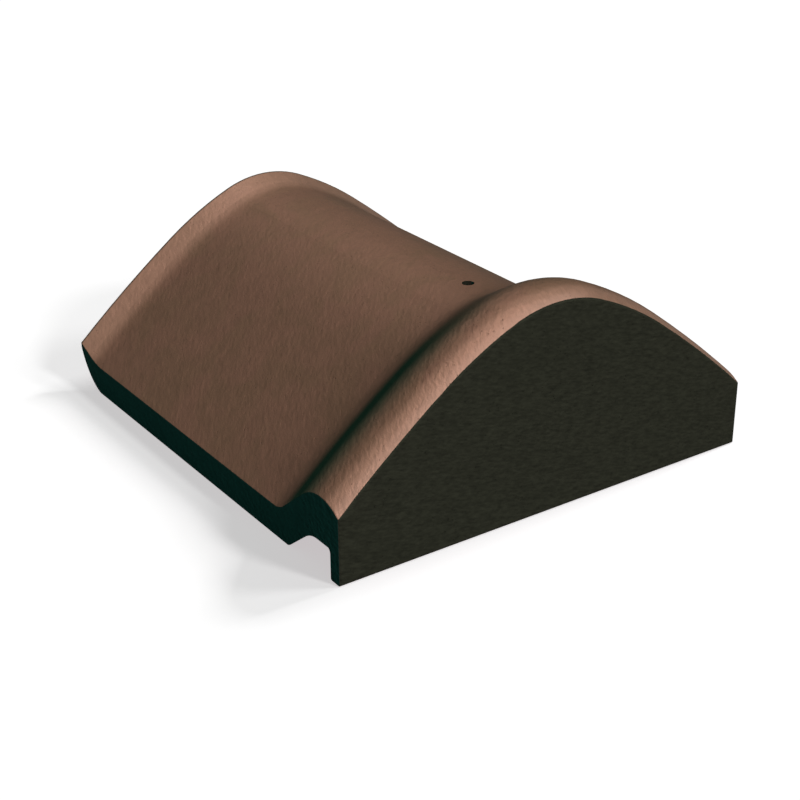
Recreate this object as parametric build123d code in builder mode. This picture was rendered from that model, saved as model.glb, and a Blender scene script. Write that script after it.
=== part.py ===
from build123d import *
from math import acos, asin, cos, degrees, radians, sin, sqrt
import os

# Closed-end ridge tile of cast concrete, lying as it would on a level floor.
# Origin: middle of the footprint, on the floor. X across the ridge, Y along it
# with the closing plate at the -Y end, Z up. All sizes in millimetres.

# Overall
width = 250.0
length = 275.6
crown_height = 97.2

# Arch of the body: a tight crown, a shoulder and a nearly straight flank,
# each tangent to the next, measured on the outer face
crown_radius = 56.0
crown_angle = 23.2
shoulder_radius = 188.0
shoulder_angle = 36.6
flank_radius = 750.0
wall = 12.4

# Roll: the raised collar over the closed end
roll_height = 17.65
roll_crest = 15.5
roll_crest_radius = 30.0
roll_slope = 31.0
roll_foot_radius = 20.0

# Hollow under the roll
hollow_rise = 12.2
hollow_run = 24.7
hollow_slope = 30.0
hollow_top_radius = 20.0
hollow_foot_radius = 12.0

# Closing plate
plate_thickness = 8.0

# Flared lip at the open end
flare_length = 18.8
flare_rise = 5.4
flare_radius = 45.0
lip_throat_radius = 30.0
rim_thickness = 1.6

# Screw hole through the crown
hole_diameter = 6.3
hole_from_front = 71.7

# Rounds that the mould leaves on the casting
corner_round = 2.0
plate_round = 1.2
side_round = 0.8
rim_round = 0.5

# How far the arch is drawn past the sides before they are cut off
side_spare = 30.0

front = -length / 2
rear = length / 2

# Centres of the arch arcs, as (x, z) on the right hand side
crown_centre = (0, crown_height - crown_radius)
crown_join = radians(crown_angle)
shoulder_gap = shoulder_radius - crown_radius
shoulder_centre = (
    crown_centre[0] - shoulder_gap * sin(crown_join),
    crown_centre[1] - shoulder_gap * cos(crown_join),
)
shoulder_join = radians(shoulder_angle)
flank_gap = flank_radius - shoulder_radius
flank_centre = (
    shoulder_centre[0] - flank_gap * sin(shoulder_join),
    shoulder_centre[1] - flank_gap * cos(shoulder_join),
)
flank_end = degrees(asin((width / 2 + side_spare - flank_centre[0]) / flank_radius))


def arch(offset):
    # The arch from the left to the right hand side, moved outwards by offset
    flank_sweep = flank_end - shoulder_angle
    shoulder_sweep = shoulder_angle - crown_angle
    CenterArc((-flank_centre[0], flank_centre[1]), flank_radius + offset,
              90 + flank_end, -flank_sweep)
    CenterArc((-shoulder_centre[0], shoulder_centre[1]), shoulder_radius + offset,
              90 + shoulder_angle, -shoulder_sweep)
    CenterArc(crown_centre, crown_radius + offset, 90 + crown_angle, -2 * crown_angle)
    CenterArc(shoulder_centre, shoulder_radius + offset, 90 - crown_angle, -shoulder_sweep)
    CenterArc(flank_centre, flank_radius + offset, 90 - shoulder_angle, -flank_sweep)


# Outer face of the roll: crest arc, straight back, then a groove onto the body
crest_y = front + roll_crest
crest_centre = (crest_y, roll_height - roll_crest_radius)
roll_front = crest_centre[1] + sqrt(roll_crest_radius**2 - roll_crest**2)
back_angle = radians(roll_slope)
back_top = (
    crest_y + roll_crest_radius * sin(back_angle),
    crest_centre[1] + roll_crest_radius * cos(back_angle),
)
back_foot_y = back_top[0] + back_top[1] * cos(back_angle) / sin(back_angle)

# Hollow under the roll, and the inner throat of the lip
hollow_end = radians(hollow_slope)
hollow_top_y = front + hollow_run
hollow_foot_y = hollow_top_y + hollow_rise * cos(hollow_end) / sin(hollow_end)
throat_rise = wall + flare_rise - rim_thickness
throat_run = sqrt(lip_throat_radius**2 - (lip_throat_radius - throat_rise) ** 2)
throat_y = rear - throat_run
throat_angle = degrees(acos(1 - throat_rise / lip_throat_radius))

with BuildPart() as ridge_tile:
    # The lengthwise section of the wall is carried over the whole arch
    with BuildLine(Plane.XZ) as ridge_arch:
        arch(0)
    section_plane = Plane(ridge_arch.line @ 0, x_dir=(0, 1, 0), z_dir=ridge_arch.line % 0)
    with BuildSketch(section_plane) as wall_section:
        with BuildLine():
            CenterArc(crest_centre, roll_crest_radius, 90 - roll_slope,
                      roll_slope + degrees(asin(roll_crest / roll_crest_radius)))
            FilletPolyline(
                back_top,
                (back_foot_y, 0),
                (rear - flare_length, 0),
                (rear, flare_rise),
                radius=(roll_foot_radius, flare_radius),
            )
            Line((rear, flare_rise), (rear, flare_rise - rim_thickness))
            CenterArc((throat_y, lip_throat_radius - wall), lip_throat_radius,
                      270, throat_angle)
            FilletPolyline(
                (throat_y, -wall),
                (hollow_foot_y, -wall),
                (hollow_top_y, hollow_rise - wall),
                (front, hollow_rise - wall),
                radius=(hollow_foot_radius, hollow_top_radius),
            )
            Line((front, hollow_rise - wall), (front, roll_front))
        make_face()
    sweep(path=ridge_arch.line)

    # Closing plate across the end
    with BuildSketch(Plane.XZ.offset(-front)) as plate_face:
        with BuildLine() as plate_outline:
            arch(roll_front / 2)
            plate_right = plate_outline.line @ 1
            plate_left = plate_outline.line @ 0
            Polyline(
                plate_right,
                (plate_right.X, -crown_height),
                (plate_left.X, -crown_height),
                plate_left,
            )
        make_face()
    extrude(amount=-plate_thickness)

    # Sides cut upright, foot cut level
    Box(
        width,
        length,
        crown_height + 2 * roll_height,
        align=(Align.CENTER, Align.CENTER, Align.MIN),
        mode=Mode.INTERSECT,
    )

    # Corner between the back of the plate and the hollow of the roll
    plate_back = front + plate_thickness
    back_edges = ridge_tile.edges().filter_by_position(Axis.Y, plate_back, plate_back)
    fillet(back_edges.filter_by(GeomType.CIRCLE), corner_round)

    # Outline of the closing plate, and the back edge of its foot
    plate_front = ridge_tile.faces().sort_by(Axis.Y)[0]
    foot_edges = ridge_tile.edges().filter_by(Axis.X).group_by(Axis.Z)[0]
    foot_back = foot_edges.filter_by_position(Axis.Y, plate_back, plate_back)
    fillet(plate_front.edges() + foot_back, plate_round)

    # Edges of the outer skin along both cut sides
    skin = ridge_tile.faces().filter_by(lambda face: face.normal_at().Z > 0.2)
    right_edges = skin.edges().filter_by_position(Axis.X, width / 2, width / 2)
    left_edges = skin.edges().filter_by_position(Axis.X, -width / 2, -width / 2)
    fillet(left_edges + right_edges, side_round)

    # Thin rim of the lip
    rim = ridge_tile.faces().sort_by(Axis.Y)[-1]
    fillet(rim.edges().filter_by(GeomType.CIRCLE), rim_round)

    # Screw hole in the crown behind the roll
    with Locations((0, front + hole_from_front, crown_height)):
        Hole(hole_diameter / 2)

ridge_tile.part.label = "ridge_tile"

os.makedirs("parts", exist_ok=True)
export_step(ridge_tile.part, "parts/ridge_tile.step")
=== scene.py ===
import bpy
import math
import numpy as np
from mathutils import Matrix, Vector

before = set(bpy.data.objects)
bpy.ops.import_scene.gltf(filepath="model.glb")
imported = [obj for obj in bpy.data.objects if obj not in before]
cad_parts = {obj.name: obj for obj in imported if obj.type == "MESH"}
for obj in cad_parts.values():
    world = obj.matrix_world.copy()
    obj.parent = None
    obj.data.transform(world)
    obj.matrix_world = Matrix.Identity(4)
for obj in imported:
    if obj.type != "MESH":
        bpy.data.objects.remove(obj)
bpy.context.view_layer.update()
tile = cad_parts["ridge_tile"]
print("tile loaded")


# camera: a short telephoto from the left front, looking down on the closed end
camera = dict(
    place=(-0.454469, -0.666494, 0.393381),  # metres
    turn=(64.353194, 0.355124, -34.658032),  # degrees about X, Y, Z
    lens=72.203,  # mm
    sensor=36.0,  # mm wide
    clip=(0.01, 50.0),  # metres
)


def addCamera(look):
    data = bpy.data.cameras.new("tileCamera")
    data.lens = look["lens"]
    data.sensor_width = look["sensor"]
    data.clip_start, data.clip_end = look["clip"]
    view = bpy.data.objects.new("tileCamera", data)
    view.location = look["place"]
    view.rotation_euler = [math.radians(a) for a in look["turn"]]
    bpy.context.scene.collection.objects.link(view)
    bpy.context.scene.camera = view


addCamera(camera)
print("camera set")


# shader maths written as plain expressions
class Signal:
    def __init__(self, net, socket):
        self.net, self.socket = net, socket

    def __add__(self, other): return self.net.math("ADD", self, other)
    def __radd__(self, other): return self.net.math("ADD", other, self)
    def __sub__(self, other): return self.net.math("SUBTRACT", self, other)
    def __rsub__(self, other): return self.net.math("SUBTRACT", other, self)
    def __mul__(self, other): return self.net.math("MULTIPLY", self, other)
    def __rmul__(self, other): return self.net.math("MULTIPLY", other, self)
    def __neg__(self): return self.net.math("MULTIPLY", self, -1.0)
    def __abs__(self): return self.net.math("ABSOLUTE", self)
    def atLeast(self, other): return self.net.math("MAXIMUM", self, other)

    def step(self, low, high):
        # 0 below low, 1 above high, smooth between them; falls instead where low is above high
        rise = self.net.node("ShaderNodeMapRange", dict(interpolation_type="SMOOTHSTEP"), {
            "Value": self, "From Min": min(low, high), "From Max": max(low, high)})["Result"]
        return rise if low < high else 1.0 - rise


class Net:
    def __init__(self, owner):
        owner.use_nodes = True
        self.tree = owner.node_tree
        self.tree.nodes.clear()

    def node(self, kind, settings=None, inputs=None):
        made = self.tree.nodes.new(kind)
        for name, value in (settings or {}).items():
            setattr(made, name, value)
        for name, value in (inputs or {}).items():
            socket = made.inputs[name]
            if isinstance(value, Signal):
                self.tree.links.new(value.socket, socket)
            elif socket.type == "RGBA":
                socket.default_value = (*value, 1.0)
            else:
                socket.default_value = value
        return {s.name: Signal(self, s) for s in made.outputs if s.enabled}

    def math(self, operation, *values):
        return self.node("ShaderNodeMath", dict(operation=operation), dict(enumerate(values)))["Value"]

    def blend(self, factor, low, high, kind="MIX"):
        # colours go through Mix, never through Math; its sockets 0, 6 and 7 are factor, A and B
        return self.node("ShaderNodeMix", dict(data_type="RGBA", blend_type=kind, clamp_factor=True),
                         {0: factor, 6: low, 7: high})["Result"]

    def noise(self, place, scale, detail=2.0, roughness=0.5, distortion=0.0):
        return self.node("ShaderNodeTexNoise", dict(noise_dimensions="3D"), {
            "Vector": place, "Scale": scale, "Detail": detail, "Roughness": roughness,
            "Distortion": distortion})["Fac"]

    def cells(self, place, scale):
        return self.node("ShaderNodeTexVoronoi", dict(feature="F1", voronoi_dimensions="3D"), {
            "Vector": place, "Scale": scale})["Distance"]

    def softCells(self, place, scale, smooth):
        return self.node("ShaderNodeTexVoronoi", dict(feature="SMOOTH_F1", voronoi_dimensions="3D"), {
            "Vector": place, "Scale": scale, "Smoothness": smooth})["Distance"]

    def stretch(self, place, size, turn):
        # what is laid on the result grows by size along axes turned by degrees about X, Y and Z
        return self.node("ShaderNodeMapping", dict(vector_type="TEXTURE"), {
            "Vector": place, "Rotation": [math.radians(a) for a in turn], "Scale": size})["Vector"]


# concrete: through-coloured casting with a brown slurry coat on the weather side
# lengths are metres, slopes are parts of the face's normal, and a pair is where something
# starts to show and where it is full
concrete = dict(
    # colours
    rust=(0.182, 0.094, 0.062),  # brown slurry coat
    olive=(0.160, 0.089, 0.055),  # duller clouds in the coat
    frontHighlight=(0.298, 0.162, 0.112),  # painted highlight: coat made lighter on faces turned to the front
    edgeHighlight=(0.375, 0.215, 0.160),  # painted highlight, brighter still along the roll's front edge
    grooveShade=(0.019, 0.068, 0.041),  # painted shade: dark green in the groove behind the roll
    plate=(0.0208, 0.0211, 0.0143),  # closing plate and rim: a dark casting made near-black with painted shade
    cut=(0.0058, 0.040, 0.033),  # trimmed sides, painted teal-black as they look in shade
    inside=(0.030, 0.026, 0.020),  # underside, painted near-black as shade under the arch
    # where they lie
    outerUp=(0.12, 0.35),  # upward slope that carries the coat
    sideOut=(0.90, 0.97),  # sideways slope of the trimmed sides
    plateFront=(0.56, 0.68),  # forward slope of the painted edge highlight
    frontHighlightSlope=(0.08, 0.32),  # forward slope where the painted highlight sets in
    edgeHighlightSlope=(0.30, 0.50),  # and where it is rubbed
    edgeHighlightLeft=(0.40, 0.00),  # which stops on faces that look to the right
    frontEnd=-0.1378,  # Y of the closing plate, from which the next four are measured
    grooveShadeFrom=(0.012, 0.034),  # where the painted groove shade sets in
    grooveShadeTo=(0.053, 0.038),  # and where it ends
    rimFrom=(0.2738, 0.2748),  # thin end of the lip, which gets painted shade
    rollTo=(0.040, 0.020),  # back of the roll
    grooveShadeAside=(-0.010, 0.066),  # how far from the crown the painted shade deepens
    grooveShadeRagged=(0.003, 0.002),  # how far both edges of the painted shade wander
    frontHighlightAmount=0.8,
    rimAmount=0.8,
    # patterns, a scale being features in a metre
    flow=dict(size=(1.9, 1.0, 1.0), turn=(0.0, -24.0, 58.0)),  # the way the slurry was drawn
    drag=dict(size=(2.2, 1.0, 0.65), turn=(0.0, 14.0, 0.0)),  # the way the plate was struck off
    edges=dict(scale=160.0),
    clouds=dict(scale=26.0, detail=3.0, roughness=0.6, distortion=0.6),
    mottle=dict(scale=240.0, detail=3.0, roughness=0.6, distortion=0.4),
    streak=dict(scale=520.0, detail=3.0, roughness=0.6, distortion=0.2),
    warp=dict(scale=430.0, detail=3.0, roughness=0.58, distortion=0.4),
    pebble=dict(scale=470.0, smooth=0.5),
    fine=dict(scale=1400.0, detail=2.0, roughness=0.6),
    pinholes=dict(scale=420.0),
    patches=dict(scale=90.0),
    cloudEdge=(0.40, 0.62),
    pinholeEdge=(0.20, 0.06),
    patchEdge=(0.50, 0.60),
    # light and dark
    shade=1.08,
    mottleShade=0.32,
    mottleCalm=0.20,  # less of it on the plate
    pitShade=0.5,
    fadeShade=0.36,  # loss of light down the flanks
    fadeUp=(0.98, 0.80),
    fadeSpare=0.5,  # share spared on faces with the painted highlight
    darkest=0.1,
    # relief
    grain=0.00034,
    warpRise=0.8,
    pebbleRise=0.45,
    fineRise=0.20,
    bodyRise=0.85,
    rollRise=0.65,  # more of it on the roll
    pitDepth=0.4,
    streakRise=0.7,
    # gloss
    roughness=0.55,
    mottleRough=0.14,
    pitRough=0.1,
    frontHighlightSmooth=0.15,
    sheen=1.0,
    sheenTint=(1.0, 0.48, 0.34),
    matteRoughness=0.9,
    matteSheen=0.03,
)


def makeConcrete(look):
    material = bpy.data.materials.new("concrete")
    net = Net(material)
    place = net.node("ShaderNodeTexCoord")["Object"]
    normal = net.node("ShaderNodeNewGeometry")["Normal"]
    facing = net.node("ShaderNodeSeparateXYZ", None, {"Vector": normal})
    at = net.node("ShaderNodeSeparateXYZ", None, {"Vector": place})
    along = at["Y"] - look["frontEnd"]
    right, ahead, up = facing["X"], -facing["Y"], facing["Z"]

    # where each finish lies
    outer = up.step(*look["outerUp"])
    sides = abs(right).step(*look["sideOut"])
    front = ahead.step(*look["plateFront"])
    ragged = net.noise(place, **look["edges"]) - 0.5
    wanderFrom, wanderTo = look["grooveShadeRagged"]
    back = (along + wanderFrom * ragged).step(*look["grooveShadeFrom"])
    foot = (along + wanderTo * ragged).step(*look["grooveShadeTo"])
    # painted shade in the groove behind the roll
    groove = back * foot * abs(at["X"]).step(*look["grooveShadeAside"]) * outer
    rim = along.step(*look["rimFrom"])
    roll = along.step(*look["rollTo"])
    # painted highlight: front-facing faces of the coat, lighter and a little smoother
    lead = ahead.step(*look["frontHighlightSlope"]) * outer
    # painted highlight along the roll's front edge, on faces that look left
    edge = ahead.step(*look["edgeHighlightSlope"]) * right.step(*look["edgeHighlightLeft"])

    # patterns
    flow = net.stretch(place, **look["flow"])
    drag = net.stretch(place, **look["drag"])
    clouds = net.noise(place, **look["clouds"])
    mottle = net.noise(flow, **look["mottle"])
    streak = net.noise(drag, **look["streak"])
    pinholes = net.cells(place, **look["pinholes"]).step(*look["pinholeEdge"])
    pits = pinholes * net.noise(place, **look["patches"]).step(*look["patchEdge"])

    # colour, laid on from the coat to what lies over it
    bare = net.blend(clouds.step(*look["cloudEdge"]), look["rust"], look["olive"])
    # painted highlight on faces turned to the front
    bare = net.blend(lead * look["frontHighlightAmount"], bare, look["frontHighlight"])
    # painted highlight along the roll's front edge
    bare = net.blend(edge, bare, look["edgeHighlight"])
    # painted shade in the groove
    bare = net.blend(groove, bare, look["grooveShade"])
    # painted shade on the underside
    bare = net.blend(outer, look["inside"], bare)
    # closing plate, darkened with painted shade
    bare = net.blend(front, bare, look["plate"])
    # painted shade on the trimmed sides
    bare = net.blend(sides, bare, look["cut"])
    # painted shade: the lip's thin end takes the plate's near-black
    bare = net.blend(rim * look["rimAmount"], bare, look["plate"])
    fade = up.step(*look["fadeUp"]) * (1.0 - look["fadeSpare"] * lead)
    shade = look["shade"] + (look["mottleShade"] - look["mottleCalm"] * front) * (mottle - 0.5)
    shade = shade + front * (streak - 0.5) - look["fadeShade"] * fade
    shade = (shade * (1.0 - look["pitShade"] * pits)).atLeast(look["darkest"])
    tone = net.node("ShaderNodeCombineColor", None, {
        "Red": shade, "Green": shade, "Blue": shade})["Color"]
    colour = net.blend(1.0, bare, tone, "MULTIPLY")

    # leather-like grain that the casting skin leaves
    warp = net.noise(flow, **look["warp"])
    pebble = net.softCells(flow, **look["pebble"])
    fine = net.noise(place, **look["fine"])
    grain = look["warpRise"] * warp + look["pebbleRise"] * pebble + look["fineRise"] * fine
    height = grain * (look["bodyRise"] + look["rollRise"] * roll)
    height = height - look["pitDepth"] * pits + look["streakRise"] * (front * streak)
    bump = net.node("ShaderNodeBump", None, {
        "Strength": 1.0, "Distance": look["grain"], "Height": height})["Normal"]

    # the coat has a sheen; the plate, rim, sides, underside and painted groove shade have next to none
    rough = look["roughness"] + look["mottleRough"] * mottle + look["pitRough"] * pits
    coated = net.node("ShaderNodeBsdfPrincipled", None, {
        "Base Color": colour, "Roughness": rough - look["frontHighlightSmooth"] * lead, "Normal": bump,
        "Specular IOR Level": look["sheen"], "Specular Tint": look["sheenTint"]})["BSDF"]
    matte = net.node("ShaderNodeBsdfPrincipled", None, {
        "Base Color": colour, "Roughness": look["matteRoughness"], "Normal": bump,
        "Specular IOR Level": look["matteSheen"]})["BSDF"]
    glossy = outer * (1.0 - sides) * (1.0 - front) * (1.0 - groove) * (1.0 - rim)
    shader = net.node("ShaderNodeMixShader", None, {0: glossy, 1: matte, 2: coated})["Shader"]
    net.node("ShaderNodeOutputMaterial", None, {"Surface": shader})
    return material


tile.data.materials.clear()
tile.data.materials.append(makeConcrete(concrete))
print("concrete made")


# floor: a plain pale sheet, duller to what it lights than to the camera
floorLook = dict(
    size=3.0,  # metres from the middle to an edge
    drop=0.0002,  # metres below the tile
    cuts=8,  # squares along an edge
    colour=(0.80, 0.80, 0.80),
    dull=(0.35, 0.35, 0.35),  # the same sheet as the tile sees it
    glow=(0.560, 0.525, 0.535),  # light added for the camera, which pales the shadow
)


def makeFloor(look):
    # flat grid: x and y run evenly from edge to edge, z is constant
    count = look["cuts"] + 1
    edge = np.linspace(-look["size"], look["size"], count)
    x, y = np.meshgrid(edge, edge)
    points = np.stack([x, y, np.full_like(x, -look["drop"])], -1).reshape(-1, 3)
    corner = (np.arange(count - 1)[:, None] * count + np.arange(count - 1)).ravel()
    quads = np.stack([corner, corner + 1, corner + count + 1, corner + count], 1)
    mesh = bpy.data.meshes.new("floor")
    mesh.from_pydata(points.tolist(), [], quads.tolist())
    floor = bpy.data.objects.new("floor", mesh)
    bpy.context.scene.collection.objects.link(floor)
    material = bpy.data.materials.new("floor")
    net = Net(material)
    seen = net.node("ShaderNodeLightPath")["Is Camera Ray"]
    sheet = net.blend(seen, look["dull"], look["colour"])
    plain = net.node("ShaderNodeBsdfDiffuse", None, {"Color": sheet})["BSDF"]
    glow = net.node("ShaderNodeEmission", None, {
        "Color": look["glow"], "Strength": seen})["Emission"]
    both = net.node("ShaderNodeAddShader", None, {0: plain, 1: glow})["Shader"]
    net.node("ShaderNodeOutputMaterial", None, {"Surface": both})
    mesh.materials.append(material)
    return floor


floor = makeFloor(floorLook)
print("floor laid")


# light: two soft lamps and two that give only a sheen for the tile, and three whose
# shadows fall on the floor; source points to the lamp, and spread is its width in degrees
lamps = dict(
    key=dict(source=(-0.24, -0.73, 0.64), power=2.30, spread=20.0, lit="tile"),
    low=dict(source=(-0.08, -0.94, 0.33), power=2.30, spread=20.0, lit="tile"),
    sheen=dict(source=(-0.05, 0.05, 0.99), power=0.80, spread=20.0, lit="tile", diffuse=False),
    sheenBack=dict(source=(0.00, 0.45, 0.89), power=0.30, spread=20.0, lit="tile", diffuse=False),
    behind=dict(source=(0.58, -1.32, 1.00), power=0.95, spread=10.0, lit="floor"),
    between=dict(source=(1.15, -0.62, 1.00), power=0.70, spread=14.0, lit="floor"),
    beside=dict(source=(1.30, 0.04, 1.00), power=1.42, spread=10.0, lit="floor"),
)
sky = dict(
    colour=(0.35, 1.0, 0.80),  # faint fill that cools the shaded faces
    strength=0.07,
    backdrop=(1.0, 1.0, 1.0),  # what the camera sees past the floor
)


def addLamp(name, look):
    data = bpy.data.lights.new(name, "SUN")
    data.energy = look["power"]
    data.angle = math.radians(look["spread"])
    lamp = bpy.data.objects.new(name, data)
    lamp.rotation_euler = Vector(look["source"]).to_track_quat("Z", "Y").to_euler()
    bpy.context.scene.collection.objects.link(lamp)
    group = bpy.data.collections.new(name + "Lit")
    group.objects.link(tile if look["lit"] == "tile" else floor)
    lamp.light_linking.receiver_collection = group
    lamp.visible_diffuse = look.get("diffuse", True)


def addSky(look):
    world = bpy.data.worlds.new("studio")
    bpy.context.scene.world = world
    net = Net(world)
    seen = net.node("ShaderNodeLightPath")["Is Camera Ray"]
    soft = net.node("ShaderNodeBackground", None, {
        "Color": look["colour"], "Strength": look["strength"]})["Background"]
    white = net.node("ShaderNodeBackground", None, {
        "Color": look["backdrop"], "Strength": 1.0})["Background"]
    both = net.node("ShaderNodeMixShader", None, {0: seen, 1: soft, 2: white})["Shader"]
    net.node("ShaderNodeOutputWorld", None, {"Surface": both})


for lampName, lampLook in lamps.items():
    addLamp(lampName + "Lamp", lampLook)
addSky(sky)
bpy.context.scene.view_settings.view_transform = "Standard"
print("lights on")
